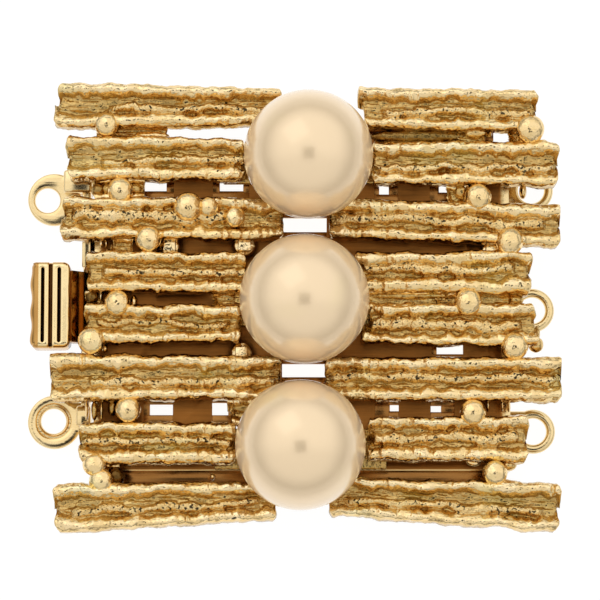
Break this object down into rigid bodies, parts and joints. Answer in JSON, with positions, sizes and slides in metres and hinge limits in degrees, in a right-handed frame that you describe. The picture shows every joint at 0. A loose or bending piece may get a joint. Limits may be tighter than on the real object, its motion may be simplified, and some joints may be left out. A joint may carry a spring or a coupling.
{
  "type": "multi-strand box clasp",
  "caption": "Bark-textured box clasp for a multi-strand necklace or bracelet, with a column of pearls, strand rings on both ends and a thumb lever on its tongue.",
  "frame": {"origin": "under the middle of the clasp's length and width, on the surface that its back rests on", "axes": "+X towards the fixed strand rings, +Y across the strands, +Z from the back to the pearls"},
  "size_m": [0.034, 0.0282, 0.0114],
  "materials": {
    "cast_gold": "gold-plated casting, rough bark with polished ridges",
    "sheet_gold": "gold-plated sheet, polished",
    "polished_gold": "gold-plated, polished",
    "pearl": "imitation pearl, satin lustre"
  },
  "bodies": {
    "clasp": {"bark_casting": "cast_gold", "pearl_1": "pearl", "pearl_2": "pearl", "pearl_3": "pearl", "clasp_box": "sheet_gold"},
    "tongue": {"tongue": "sheet_gold"},
    "lever": {"lever": "polished_gold"}
  },
  "joints": [
    {"name": "tongue_slide", "type": "slide", "parent": "clasp", "child": "tongue", "axis": [-1, 0, 0], "range_m": [0, 0.0115]},
    {"name": "lever_press", "type": "hinge", "parent": "tongue", "child": "lever", "pos_m": [-0.00243, 0, 0.0013], "axis": [0, -1, 0], "range_deg": [0, 3.2], "stiffness_Nm_per_rad": 0.2}
  ]
}
